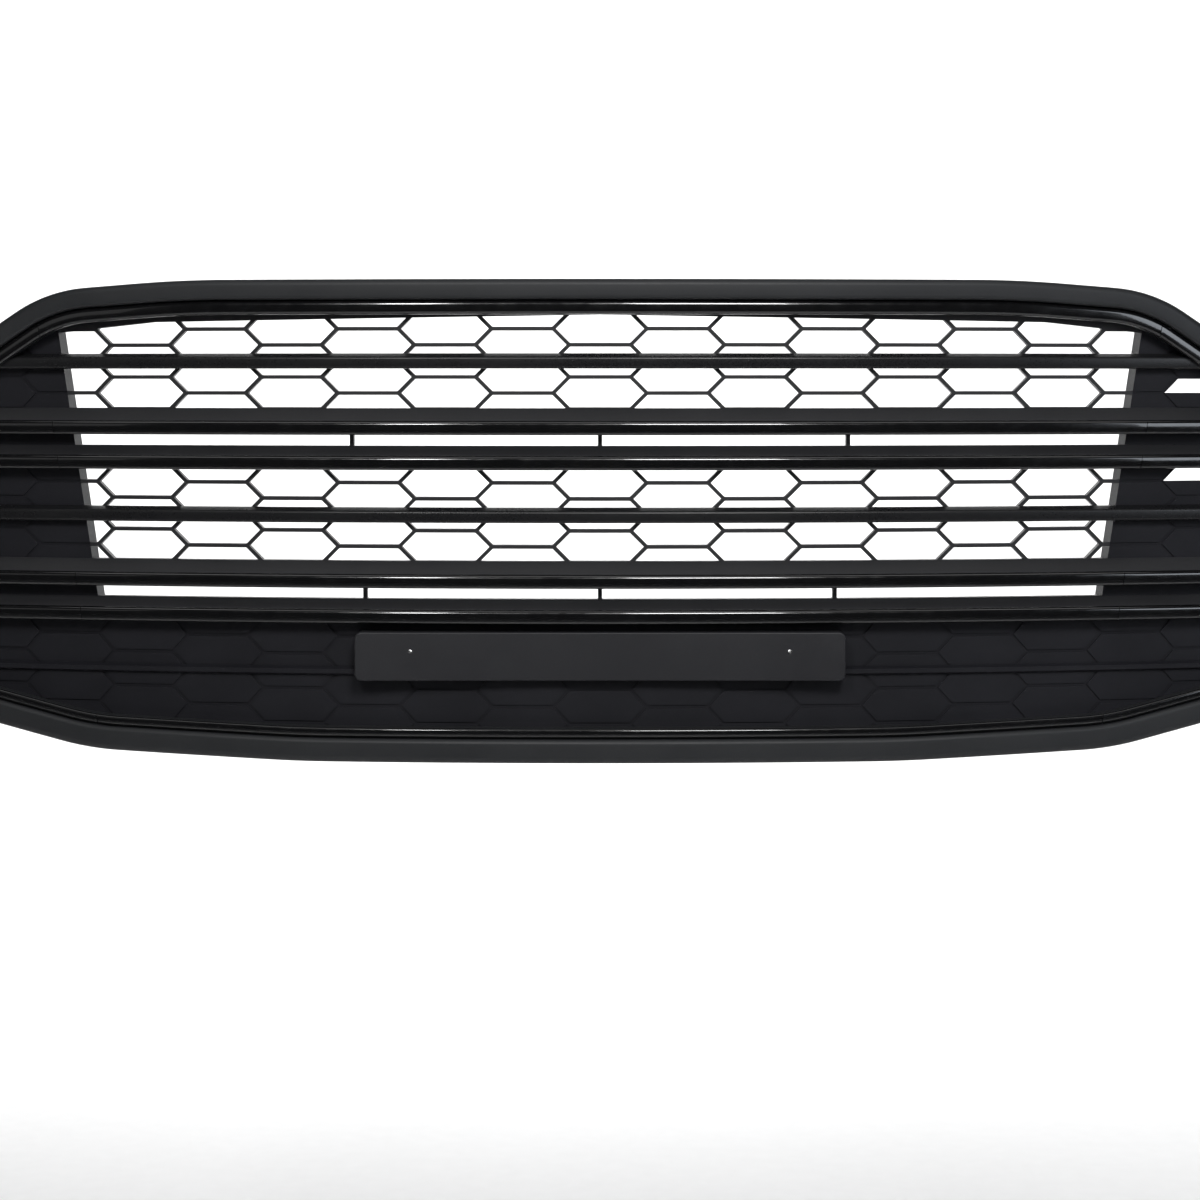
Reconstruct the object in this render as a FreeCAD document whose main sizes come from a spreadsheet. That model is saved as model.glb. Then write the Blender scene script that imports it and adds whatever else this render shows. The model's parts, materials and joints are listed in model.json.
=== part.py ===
import FreeCAD, Part

import math
import os
import re

import Sketcher

# Front grille of a car: a matte surround that curves back towards both sides, six gloss
# strips, hexagon mesh above and below, two vent slots, blanked wings, a blanked lower panel
# and a number plate pad. Lengths are in millimetres.
#
# X runs to the right as seen from in front, Y runs rearward and Z runs up. The origin is the
# centre of the bounding box. Every layer is part of a cylinder about one upright axis behind
# the grille, the sweep axis, and "depth" is measured from the foremost of these cylinders
# towards that axis.

SIZES = {
    # overall
    "overall_width": 1300,
    "overall_height": 461,
    "sweep_radius": 2600,
    # outline, corner by corner from the top centre to the bottom centre
    "brow_inset": 250,
    "brow_drop": 9.6,
    "bend_inset": 117,
    "shoulder_drop": 74.7,
    "foot_rise": 36.6,
    "sill_inset": 153,
    "keel_rise": 8.3,
    "keel_inset": 360,
    "brow_radius": 1200,
    "bend_radius": 150,
    "shoulder_radius": 100,
    "foot_radius": 58,
    "sill_radius": 300,
    "keel_radius": 1500,
    # surround
    "surround_depth": 40,
    "surround_wall": 3.2,
    "face_width": 21.1,
    "face_bias": 1.9,
    "outer_roll": 6.5,
    "trim_inset": 33.2,
    # depths of the layers
    "trim_front": 4,
    "trim_thickness": 5,
    "thin_bar_depth": 11,
    "core_front": 22,
    "core_thickness": 12,
    "panel_thickness": 3,
    "wall_length": 36,
    # gloss strips
    "blade_height": 13.6,
    "blade_roll": 2.2,
    "seam_offset": 16,
    "seam_gap": 0.6,
    # bars behind the gloss strips
    "first_base": 83.0,
    "second_base": 49.7,
    "third_base": -63.2,
    "fourth_base": -97.0,
    "tall_ledge": 11.8,
    "low_ledge": 9.2,
    "bar_wall": 2.5,
    "ledge_skin": 3.4,
    # thin bars
    "upper_centre": 153.4,
    "lower_centre": 6.5,
    "thin_height": 14.7,
    "thin_ledge": 3,
    "thin_roll": 2.5,
    # hexagon mesh
    "cell_pitch_x": 74,
    "cell_pitch_z": 30.6,
    "cell_slant": 15.3,
    "rib_width": 3.6,
    # top edge of the upper mesh opening
    "lintel_flat": 0.6,
    "lintel_knee": 430,
    "lintel_drop": 6.5,
    "lintel_end_drop": 17,
    # sides of the openings
    "wall_half": 500,
    "wall_slope": 0.1408,
    "wall_thickness": 3,
    # vent slots
    "slot_rib_width": 4,
    "upper_slot_rib": 237.8,
    "lower_slot_rib": 225.8,
    # relief on the blanked surfaces
    "relief_pitch_z": 33.6,
    "groove_width": 3,
    "groove_depth": 1.5,
    "divider_centre": -144.2,
    "divider_height": 8.7,
    "divider_rise": 5,
    # lower panel segments
    "inner_joint": 120,
    "outer_joint": 360,
    # number plate pad
    "pad_width": 469.4,
    "pad_height": 46.6,
    "pad_centre": -128.1,
    "pad_front": 8,
    "pad_corner": 6.7,
    "pad_roll": 1.5,
    "pilot_spacing": 363,
    "pilot_centre": -123.3,
    "pilot_diameter": 4,
    # screws
    "screw_diameter": 4,
    "screw_bite": 9,
    "screw_head_diameter": 8.5,
    "screw_head_height": 2.5,
    "screw_spacing": 160,
    "pad_screw_spacing": 70,
    # mounting tabs and their spring nuts
    "tab_width": 44,
    "tab_thickness": 3,
    "tab_hole_depth": 84,
    "tab_hole_diameter": 7,
    "tab_end_margin": 11,
    "upper_tab_spacing": 240,
    "lower_tab_spacing": 240,
    "nut_width": 16,
    "nut_length": 20,
    "nut_leaf": 0.8,
}

UPPER_TABS = (-1.5, -0.5, 0.5, 1.5)
LOWER_TABS = (-1, 0, 1)
TOP_SCREWS = (-2.5, -1.5, -0.5, 0.5, 1.5, 2.5)
BOTTOM_SCREWS = (-1.5, -0.5, 0.5, 1.5)
PAD_SCREWS = (-1.5, -0.5, 0.5, 1.5)
COLUMNS = range(-8, 9)
OPEN_COLUMN = 8

doc = FreeCAD.newDocument("front_grille")
sheet = doc.addObject("Spreadsheet::Sheet", "Sizes")
for row, (alias, size) in enumerate(SIZES.items(), start=1):
    sheet.set(f"A{row}", alias)
    sheet.set(f"B{row}", str(size))
    sheet.setAlias(f"B{row}", alias)
doc.recompute()

ALIAS = re.compile(r"\b(" + "|".join(SIZES) + r")\b")

# ---------------------------------------------------------------- formulas on the sheet

HALF_WIDTH = "overall_width / 2"
HALF_HEIGHT = "overall_height / 2"
HALF_DEPTH = (
    "(sweep_radius - sqrt((sweep_radius - surround_depth) ^ 2 - (overall_width / 2) ^ 2)) / 2"
)
AXIS_Y = f"sweep_radius - {HALF_DEPTH}"
TRIM_SEAT = "trim_front + trim_thickness"
THIN_FRONT = "core_front - thin_bar_depth"
DIVIDER_FRONT = "core_front - divider_rise"
CORE_BACK = "core_front + core_thickness"
PANEL_BACK = "core_front + panel_thickness"
WALL_BACK = "core_front + wall_length"
SWEEP_ANGLE = f"2 * asin(overall_width / 2 / (sweep_radius - 2 * ({WALL_BACK})))"
FACE_TOP = "overall_height / 2 - face_width + face_bias"
FACE_BOTTOM = "-overall_height / 2 + face_width + face_bias"
TRIM_TOP = "overall_height / 2 - trim_inset"
TRIM_BOTTOM = "-overall_height / 2 + trim_inset"
TAB_HOLE_Y = f"tab_hole_depth - {HALF_DEPTH}"
TAB_END_Y = f"{TAB_HOLE_Y} + tab_end_margin"
PAD_FACE_Y = f"pad_front - {HALF_DEPTH}"


def link(formula):
    """Point each size named in a formula at its cell."""
    return ALIAS.sub(r"Sizes.\1", formula)


def size_of(formula):
    """Work a formula out as a plain number."""
    answer = sheet.evalExpression(link(formula))
    return float(getattr(answer, "Value", answer))


def bind(item, **formulas):
    """Tie properties of an object to formulas on the sheet."""
    for name, formula in formulas.items():
        item.setExpression(name, link(formula))


def place(item, x="0", y="0", z="0"):
    """Tie the position of an object to formulas on the sheet."""
    for axis, formula in zip("xyz", (x, y, z)):
        item.setExpression(f".Placement.Base.{axis}", link(formula))


def wall_at(height, beyond="0"):
    """Half width of the openings at a height, plus an amount beyond."""
    return f"wall_half + wall_slope * ({height}) + {beyond}"


def mirrored(corners):
    """Repeat the corners of the right half, in reverse, on the left."""
    return corners + [(f"-({x})", z) for x, z in reversed(corners)]


# ---------------------------------------------------------------- building blocks

def boolean(kind, name, base, tool):
    item = doc.addObject(f"Part::{kind}", name)
    item.Base = base
    item.Tool = tool
    return item


def common(name, first, *others):
    """The space that all the given objects share."""
    for index, other in enumerate(others):
        last = index == len(others) - 1
        first = boolean("Common", name if last else f"{name}_part{index}", first, other)
    return first


def cut(name, base, *tools):
    for index, tool in enumerate(tools):
        last = index == len(tools) - 1
        base = boolean("Cut", name if last else f"{name}_cut{index}", base, tool)
    return base


def fuse(name, base, *tools):
    for index, tool in enumerate(tools):
        last = index == len(tools) - 1
        base = boolean("Fuse", name if last else f"{name}_fuse{index}", base, tool)
        base.Refine = True
    return base


def sketch_polygon(body, plane_role, corners):
    """A closed polygon whose corners are each tied to two formulas."""
    sketch = body.newObject("Sketcher::SketchObject", f"{body.Name}_sketch")
    planes = [item for item in body.Origin.OriginFeatures if item.Role == plane_role]
    sketch.AttachmentSupport = [(planes[0], "")]
    sketch.MapMode = "FlatFace"
    spots = [FreeCAD.Vector(size_of(u), size_of(v), 0) for u, v in corners]
    count = len(spots)
    for index in range(count):
        sketch.addGeometry(Part.LineSegment(spots[index], spots[(index + 1) % count]))
    for index in range(count):
        following = (index + 1) % count
        sketch.addConstraint(Sketcher.Constraint("Coincident", index, 2, following, 1))
    for index, corner in enumerate(corners):
        for kind, formula, number in zip(("DistanceX", "DistanceY"), corner, spots[index]):
            constraint = sketch.addConstraint(
                Sketcher.Constraint(kind, -1, 1, index, 1, number)
            )
            sketch.setExpression(f"Constraints[{constraint}]", link(formula))
    return sketch


def matching_edges(item, chosen):
    """Numbers of the edges that a test picks."""
    return [number for number, edge in enumerate(item.Shape.Edges, 1) if chosen(edge)]


def round_edges(body, base, radius, chosen):
    """Fillet the edges of the last feature that the chosen test picks."""
    doc.recompute()
    fillet = body.newObject("PartDesign::Fillet", f"{body.Name}_fillet")
    fillet.Base = (base, [f"Edge{number}" for number in matching_edges(base, chosen)])
    bind(fillet, Radius=radius)
    return fillet


def near_corner(x, z):
    """Picks the prism edge that runs rearward through a corner and through its mirror."""
    def chosen(edge):
        middle = edge.CenterOfMass
        upright = abs(edge.tangentAt(edge.FirstParameter).y) > 0.999
        return upright and math.hypot(abs(middle.x) - abs(x), middle.z - z) < 0.01
    return chosen


def prism(name, corners):
    """A front-view polygon extruded from well before to well behind the grille."""
    body = doc.addObject("PartDesign::Body", name)
    pad = body.newObject("PartDesign::Pad", f"{name}_pad")
    pad.Profile = sketch_polygon(body, "XZ_Plane", corners)
    pad.Midplane = True
    bind(pad, Length="overall_width")
    return body


def rolled_corner(front, height, roll, inward):
    """Two facets in place of a section's front corner; inward is 1 for a lower corner."""
    share = f"{roll} * (1 - sqrt(2) / 2)"
    return [(f"{front} + {roll}", height),
            (f"{front} + {share}", f"{height} + ({inward}) * {share}"),
            (front, f"{height} + ({inward}) * {roll}")]


def swept_section(name, corners):
    """A section, given as (depth, height) corners, swept about the sweep axis."""
    body = doc.addObject("PartDesign::Body", name)
    profile = [(f"({depth}) - sweep_radius", height) for depth, height in corners]
    sketch = sketch_polygon(body, "YZ_Plane", profile)
    sweep = body.newObject("PartDesign::Revolution", f"{name}_sweep")
    sweep.Profile = sketch
    sweep.ReferenceAxis = (sketch, ["V_Axis"])
    sweep.Midplane = True
    bind(sweep, Angle=SWEEP_ANGLE)
    place(body, y=AXIS_Y)
    return body


def swept_cylinder(depth):
    """Everything behind one swept surface, kept once for each depth."""
    name = "swept_" + re.sub(r"\W+", "_", depth)
    known = doc.getObject(name)
    if known:
        return known
    item = doc.addObject("Part::Cylinder", name)
    bind(item, Radius=f"sweep_radius - ({depth})", Height="overall_height")
    place(item, y=AXIS_Y, z="-overall_height / 2")
    return item


def layer(name, front, back):
    """The swept layer between two depths."""
    return cut(name, swept_cylinder(front), swept_cylinder(back))


def slab(name, low, high):
    """Everything between two heights."""
    item = doc.addObject("Part::Box", name)
    bind(item, Length="overall_width", Width="overall_width", Height=f"({high}) - ({low})")
    place(item, x="-overall_width / 2", y="-overall_width / 2", z=low)
    return item


def upright_band(name, left, right):
    """Everything between two upright planes."""
    item = doc.addObject("Part::Box", name)
    bind(item, Length=f"({right}) - ({left})", Width="overall_width", Height="overall_height")
    place(item, x=left, y="-overall_width / 2", z="-overall_height / 2")
    return item


def computed(name, shape):
    item = doc.addObject("Part::Feature", name)
    item.Shape = shape
    return item


# ---------------------------------------------------------------- outline

# Each corner of the right half: place, radius and the downward angles of its two edges.
BROW_ANGLE = "atan(brow_drop / (brow_inset - bend_inset))"
SHOULDER_ANGLE = "atan(shoulder_drop / bend_inset)"
SILL_ANGLE = "180 deg - atan(foot_rise / sill_inset)"
KEEL_ANGLE = "180 deg - atan(keel_rise / (keel_inset - sill_inset))"
OUTLINE = (
    (f"{HALF_WIDTH} - brow_inset", HALF_HEIGHT, "brow_radius", "0 deg", BROW_ANGLE),
    (f"{HALF_WIDTH} - bend_inset", f"{HALF_HEIGHT} - brow_drop",
     "bend_radius", BROW_ANGLE, SHOULDER_ANGLE),
    (HALF_WIDTH, f"{HALF_HEIGHT} - brow_drop - shoulder_drop",
     "shoulder_radius", SHOULDER_ANGLE, "90 deg"),
    (HALF_WIDTH, f"-{HALF_HEIGHT} + keel_rise + foot_rise", "foot_radius", "90 deg", SILL_ANGLE),
    (f"{HALF_WIDTH} - sill_inset", f"-{HALF_HEIGHT} + keel_rise",
     "sill_radius", SILL_ANGLE, KEEL_ANGLE),
    (f"{HALF_WIDTH} - keel_inset", f"-{HALF_HEIGHT}", "keel_radius", KEEL_ANGLE, "180 deg"),
)


def outline_prism(name, inset, lift="0"):
    """The outline, moved inwards by an inset and up by a lift, as a prism."""
    corners = []
    for x, z, _, before, after in OUTLINE:
        middle = f"(({before}) + ({after})) / 2"
        half_turn = f"(({after}) - ({before})) / 2"
        reach = f"({inset}) / cos({half_turn})"
        corners.append((f"{x} - {reach} * sin({middle})",
                        f"{z} - {reach} * cos({middle}) + {lift}"))
    blank = prism(f"{name}_blank", mirrored(corners))
    doc.recompute()
    rounded = doc.addObject("Part::Fillet", name)
    rounded.Base = blank
    rounded.Edges = [
        (number, size_of(f"{radius} - ({inset})"), size_of(f"{radius} - ({inset})"))
        for (x, z), (_, _, radius, _, _) in zip(corners, OUTLINE)
        for number in matching_edges(blank, near_corner(size_of(x), size_of(z)))
    ]
    return rounded


outer_edge = outline_prism("outer_edge", "0")
skin_inside = outline_prism("skin_inside", "surround_wall")
skirt_outside = outline_prism("skirt_outside", "face_width - surround_wall", "face_bias")
face_edge = outline_prism("face_edge", "face_width", "face_bias")
trim_edge = outline_prism("trim_edge", "trim_inset")

# ---------------------------------------------------------------- regions seen from in front

LIMIT = HALF_HEIGHT


def region_between(name, inner, outer, low, high):
    """The right-hand region between two side lines and two heights."""
    return prism(name, [(inner(low), low), (outer(low), low),
                        (outer(high), high), (inner(high), high)])


def mirror_image(item, name):
    twin = doc.addObject("Part::Mirroring", name)
    twin.Source = item
    twin.Normal = FreeCAD.Vector(1, 0, 0)
    return twin


def side_line(height):
    return wall_at(height)


def wall_outside(height):
    return wall_at(height, "wall_thickness")


def seam_inner(height):
    return wall_at(height, "seam_offset - seam_gap / 2")


def seam_outer(height):
    return wall_at(height, "seam_offset + seam_gap / 2")


def far_side(height):
    return HALF_WIDTH


def centre_region(name, line, low, high):
    """The region between a side line and its mirror image."""
    return prism(name, mirrored([(line(low), low), (line(high), high)]))


opening_field = centre_region("opening_field", side_line, f"-{LIMIT}", LIMIT)
regions = {
    "upper_centre_region": centre_region("upper_centre_region", seam_inner, "0", LIMIT),
    "lower_centre_region": centre_region("lower_centre_region", seam_inner, f"-{LIMIT}", "0"),
    "upper_right_region": region_between("upper_right_region", seam_outer, far_side,
                                         "seam_gap / 2", LIMIT),
    "lower_right_region": region_between("lower_right_region", seam_outer, far_side,
                                         f"-{LIMIT}", "-seam_gap / 2"),
}
for half in ("upper", "lower"):
    source = regions[f"{half}_right_region"]
    regions[f"{half}_left_region"] = mirror_image(source, f"{half}_left_region")

# ---------------------------------------------------------------- bars and gloss strips

BARS = (
    ("1", "first_base", "tall_ledge", "upper"),
    ("2", "second_base", "low_ledge", "upper"),
    ("3", "third_base", "tall_ledge", "lower"),
    ("4", "fourth_base", "low_ledge", "lower"),
)


def split_strip(strip, half, name):
    """Cut a full-width gloss strip at its two seams into three pieces."""
    return [
        common(f"{name}_{side}", strip, regions[f"{half}_{side}_region"])
        for side in ("left", "centre", "right")
    ]


def make_bar(number, base, ledge):
    """A bar with a sloping matte ledge, hollow from behind, that carries a gloss strip."""
    seat_top = f"{base} + blade_height"
    back_top = f"{seat_top} + {ledge}"
    inner_front = f"{TRIM_SEAT} + bar_wall"
    ledge_share = f"bar_wall / (core_front - ({TRIM_SEAT}))"
    section = swept_section(f"bar_{number}_section", [
        ("core_front", back_top),
        (TRIM_SEAT, seat_top),
        (TRIM_SEAT, base),
        ("core_front", base),
        ("core_front", f"{base} + bar_wall"),
        (inner_front, f"{base} + bar_wall"),
        (inner_front, f"{seat_top} + {ledge_share} * {ledge} - ledge_skin"),
        ("core_front", f"{back_top} - ledge_skin"),
    ])
    return common(f"bar_{number}", section, trim_edge)


def make_blade(number, base, half):
    """A gloss strip in three pieces, with rolled front edges."""
    top = f"{base} + blade_height"
    front_low = rolled_corner("trim_front", base, "blade_roll", 1)
    section = swept_section(f"blade_{number}_section", (
        [(TRIM_SEAT, top)] + rolled_corner("trim_front", top, "blade_roll", -1)
        + front_low[::-1] + [(TRIM_SEAT, base)]
    ))
    strip = common(f"blade_{number}_strip", section, trim_edge)
    return split_strip(strip, half, f"blade_{number}")


def make_thin_bar(name, centre):
    """A slim satin bar in front of the mesh, with a shallow ledge on top."""
    top = f"{centre} + thin_height / 2"
    low = f"{centre} - thin_height / 2"
    lip = f"{top} - thin_ledge"
    front_low = rolled_corner(THIN_FRONT, low, "thin_roll", 1)
    section = swept_section(f"{name}_section", (
        [("core_front", top)] + rolled_corner(THIN_FRONT, lip, "thin_roll", -1)
        + front_low[::-1] + [("core_front", low)]
    ))
    return common(name, section, trim_edge)


def make_ring_strips():
    """The gloss strip that runs round inside the surround, in six pieces."""
    band = common("ring_band", cut("ring_outline", face_edge, trim_edge),
                  layer("trim_layer", "trim_front", TRIM_SEAT))
    return split_strip(band, "upper", "trim_top") + split_strip(band, "lower", "trim_bottom")


# ---------------------------------------------------------------- hexagon cells

def cell_outline(width, pitch_z):
    """Corners of one hexagon, smaller than its share of the pattern by a rib's width."""
    pitch_x = size_of("cell_pitch_x")
    slant = size_of("cell_slant")
    slope = math.atan2(pitch_z / 2, slant)
    half_height = (pitch_z - width) / 2
    tip = (pitch_x + slant) / 2 - width / 2 / math.sin(slope)
    shoulder = tip - half_height / math.tan(slope)
    return ((tip, 0), (shoulder, half_height), (-shoulder, half_height),
            (-tip, 0), (-shoulder, -half_height), (shoulder, -half_height))


def make_cells(name, centre, pitch, gap, columns, rows):
    """Hexagon prisms in columns, every other column half a pitch higher."""
    pitch_x = size_of("cell_pitch_x")
    pitch_z = size_of(pitch)
    length = size_of("overall_width")
    corners = cell_outline(size_of(gap), pitch_z)
    prisms = []
    for column in columns:
        for rank in rows:
            x = column * pitch_x
            z = size_of(centre) + (rank + (column % 2) / 2) * pitch_z
            loop = [FreeCAD.Vector(x + u, -length / 2, z + v) for u, v in corners]
            face = Part.Face(Part.makePolygon(loop + loop[:1]))
            prisms.append(face.extrude(FreeCAD.Vector(0, length, 0)))
    return computed(name, Part.makeCompound(prisms))


ROWS = range(-2, 2)

# heights where one layer behind the bars ends and the next one starts
UPPER_SPLIT = "first_base + blade_height"
UPPER_SLOT_SPLIT = "second_base + blade_height"
LOWER_SPLIT = "third_base + blade_height"
PANEL_SPLIT = "fourth_base + blade_height"
UPPER_SILL = f"{UPPER_SPLIT} + tall_ledge"
LOWER_SILL = f"{LOWER_SPLIT} + tall_ledge"
UPPER_SLOT_SILL = f"{UPPER_SLOT_SPLIT} + low_ledge"
LOWER_SLOT_SILL = f"{PANEL_SPLIT} + low_ledge"

core_layer = layer("core_layer", "core_front", CORE_BACK)
panel_layer = layer("panel_layer", "core_front", PANEL_BACK)
groove_layer = layer("groove_layer", "core_front", "core_front + groove_depth")


def make_core(name, low, high):
    """The mesh layer between the side walls and two heights."""
    band = slab(f"{name}_band", low, high)
    return common(f"{name}_blank", core_layer, opening_field, band, face_edge)


def make_mesh(name, blank, window, centre):
    cells = make_cells(f"{name}_cells", centre, "cell_pitch_z", "rib_width", COLUMNS, ROWS)
    return cut(name, blank, common(f"{name}_holes", cells, window))


def make_slot_frame(name, blank, low, high, rib):
    """Two rails joined by three upright ribs, open between them."""
    window = slab(f"{name}_window", low, high)
    ribs = [
        prism(f"{name}_rib_{side}", [
            (f"{centre} - slot_rib_width / 2", low), (f"{centre} + slot_rib_width / 2", low),
            (f"{centre} + slot_rib_width / 2", high), (f"{centre} - slot_rib_width / 2", high),
        ])
        for side, centre in (("left", f"-{rib}"), ("centre", "0"), ("right", rib))
    ]
    return cut(name, blank, cut(f"{name}_gaps", window, *ribs))


def make_upper_window():
    """The upper mesh opening, whose top edge falls towards both sides."""
    end = wall_at(TRIM_TOP, "wall_thickness")
    return prism("upper_window", mirrored([
        ("lintel_flat", TRIM_TOP),
        ("lintel_knee", f"{TRIM_TOP} - lintel_drop"),
        (end, f"{TRIM_TOP} - lintel_end_drop"),
        (end, UPPER_SILL),
    ]))


# ---------------------------------------------------------------- blanked surfaces

def make_grooves(name, centre, pitch, low, high):
    """Shallow grooves along the lines of the hexagon pattern between two heights."""
    cells = make_cells(f"{name}_cells", centre, pitch, "groove_width", COLUMNS, ROWS)
    band = slab(f"{name}_band", low, high)
    return cut(name, common(f"{name}_sheet", groove_layer, band), cells)


def make_open_cell(name, centre, rank, bar_low):
    """The upper half of one cell of the right wing, which is open down from a bar."""
    cell = make_cells(f"{name}_cell", centre, "cell_pitch_z", "rib_width", [OPEN_COLUMN], [rank])
    middle = f"{centre} + {rank} * cell_pitch_z"
    return common(name, cell, slab(f"{name}_half", middle, bar_low))


def make_right_wing_blank(grooves):
    """A wing: a thin floor with relief, and a wall along the side of the openings."""
    floor_region = region_between("wing_floor_region", side_line, far_side, PANEL_SPLIT, LIMIT)
    wall_region = region_between("wing_wall_region", side_line, wall_outside,
                                 PANEL_SPLIT, LIMIT)
    floor = common("wing_floor", panel_layer, floor_region, face_edge)
    wall = common("wing_wall", layer("wall_layer", "core_front", WALL_BACK),
                  wall_region, face_edge)
    return cut("wing_blank", fuse("wing_body", floor, wall), *grooves)


def make_divider():
    top = "divider_centre + divider_height / 2"
    low = "divider_centre - divider_height / 2"
    section = swept_section("divider_section", [
        ("core_front", top), (DIVIDER_FRONT, f"{top} - divider_height / 4"),
        (DIVIDER_FRONT, f"{low} + divider_height / 4"), ("core_front", low),
    ])
    return common("divider", section, trim_edge)


def make_screws(name, seat, height, spacing, places, plate):
    """Pan-head screws driven from behind, each square to the swept surface."""
    radius = size_of("sweep_radius")
    seat_y = size_of(seat) - radius
    level = size_of(height)
    shank_length = size_of(f"{plate} + screw_bite")
    centre = FreeCAD.Vector(0, seat_y, level)
    forward = FreeCAD.Vector(0, -1, 0)
    rearward = FreeCAD.Vector(0, 1, 0)
    axis = FreeCAD.Vector(0, 0, 1)
    screws = []
    for step in places:
        head = Part.makeCylinder(size_of("screw_head_diameter / 2"),
                                 size_of("screw_head_height"), centre, rearward)
        shank = Part.makeCylinder(size_of("screw_diameter / 2"), shank_length, centre, forward)
        screw = head.fuse(shank).removeSplitter()
        angle = math.degrees(math.asin(step * size_of(spacing) / radius))
        screw.rotate(FreeCAD.Vector(0, 0, 0), axis, angle)
        screws.append(screw)
    group = computed(name, Part.makeCompound(screws))
    group.Placement = FreeCAD.Placement(FreeCAD.Vector(0, size_of(AXIS_Y), 0),
                                        FreeCAD.Rotation())
    return group


# ---------------------------------------------------------------- number plate pad

def make_pad(behind, divider, screws):
    """A flat-faced pad that fits against the swept panel and over its divider."""
    block = doc.addObject("PartDesign::Body", "pad_block")
    left = "-pad_width / 2"
    right = "pad_width / 2"
    low = "pad_centre - pad_height / 2"
    high = "pad_centre + pad_height / 2"
    extrusion = block.newObject("PartDesign::Pad", "pad_block_pad")
    extrusion.Profile = sketch_polygon(block, "XZ_Plane", [
        (left, low), (right, low), (right, high), (left, high),
    ])
    extrusion.Reversed = True
    bind(extrusion, Length="core_front + surround_depth")
    corners = [near_corner(size_of(right), size_of(level)) for level in (low, high)]
    feature = extrusion
    for corner in corners:
        feature = round_edges(block, feature, "pad_corner", corner)
    doc.recompute()

    def on_face(edge):
        ends = (edge.valueAt(edge.FirstParameter), edge.valueAt(edge.LastParameter))
        return all(abs(end.y) < 0.001 for end in ends)

    round_edges(block, feature, "pad_roll", on_face)
    place(block, y=PAD_FACE_Y)
    return cut("plate_pad", block, behind, divider, screws, *pilot_holes)


def make_pilot_hole(name, sign):
    item = doc.addObject("Part::Cylinder", name)
    bind(item, Radius="pilot_diameter / 2", Height="overall_width")
    item.Placement.Rotation = FreeCAD.Rotation(FreeCAD.Vector(1, 0, 0), -90)
    place(item, x=f"{sign} * pilot_spacing / 2", y="-overall_width / 2", z="pilot_centre")
    return item


# ---------------------------------------------------------------- mounting tabs

def make_tab(name, x, top):
    """A flat tab under the skin of the surround, long enough to reach the line of holes."""
    root = f"sweep_radius - sqrt(sweep_radius ^ 2 - ({x}) ^ 2)"
    start = f"{root} + surround_depth / 2 - {HALF_DEPTH}"
    item = doc.addObject("Part::Box", name)
    bind(item, Length="tab_width", Width=f"{TAB_END_Y} - ({start})", Height="tab_thickness")
    place(item, x=f"{x} - tab_width / 2", y=start, z=f"{top} - tab_thickness")
    return item


def make_tab_hole(name, x, middle):
    item = doc.addObject("Part::Cylinder", name)
    bind(item, Radius="tab_hole_diameter / 2", Height="4 * tab_thickness")
    place(item, x=x, y=TAB_HOLE_Y, z=f"{middle} - 2 * tab_thickness")
    return item


def make_nut(index, x, top, hole):
    """A spring nut: two leaves that grip a tab, joined round its end."""
    outside = doc.addObject("Part::Box", f"nut_outside_{index}")
    bind(outside, Length="nut_width", Width="nut_length + nut_leaf",
         Height="tab_thickness + 2 * nut_leaf")
    place(outside, x=f"{x} - nut_width / 2", y=f"{TAB_END_Y} - nut_length",
          z=f"{top} - tab_thickness - nut_leaf")
    inside = doc.addObject("Part::Box", f"nut_inside_{index}")
    bind(inside, Length="nut_width", Width="nut_length", Height="tab_thickness")
    place(inside, x=f"{x} - nut_width / 2", y=f"{TAB_END_Y} - nut_length",
          z=f"{top} - tab_thickness")
    return cut(f"nut_{index}", outside, inside, hole)


def make_tabs():
    """The tabs, their holes and the spring nuts on the upper ones."""
    upper_level = f"{HALF_HEIGHT} - surround_wall"
    lower_level = f"-{HALF_HEIGHT} + surround_wall + tab_thickness"
    tabs = []
    holes = []
    nuts = []
    for index, step in enumerate(UPPER_TABS):
        x = f"{step} * upper_tab_spacing"
        tabs.append(make_tab(f"upper_tab_{index}", x, upper_level))
        holes.append(make_tab_hole(f"upper_hole_{index}", x, upper_level))
        nuts.append(make_nut(index, x, upper_level, holes[-1]))
    for index, step in enumerate(LOWER_TABS):
        x = f"{step} * lower_tab_spacing"
        tabs.append(make_tab(f"lower_tab_{index}", x, lower_level))
        holes.append(make_tab_hole(f"lower_hole_{index}", x, lower_level))
    return tabs, holes, nuts


# ---------------------------------------------------------------- surround

def roll_front_edge(name, item, depth, outline, radius):
    """Round the front edge of an item where it follows an outline."""
    doc.recompute()
    front_radius = size_of(f"sweep_radius - ({depth})")
    axis_y = size_of(AXIS_Y)

    def on_front_of_outline(edge):
        ends = (edge.valueAt(edge.FirstParameter), edge.valueAt(edge.LastParameter))
        if any(abs(math.hypot(p.x, p.y - axis_y) - front_radius) > 0.01 for p in ends):
            return False
        middle = edge.valueAt((edge.FirstParameter + edge.LastParameter) / 2)
        return outline.Shape.Solids[0].Shells[0].distToShape(Part.Vertex(middle))[0] < 0.01

    rounded = doc.addObject("Part::Fillet", name)
    rounded.Base = item
    roll = size_of(radius)
    rounded.Edges = [(number, roll, roll) for number in matching_edges(item, on_front_of_outline)]
    return rounded


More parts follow.
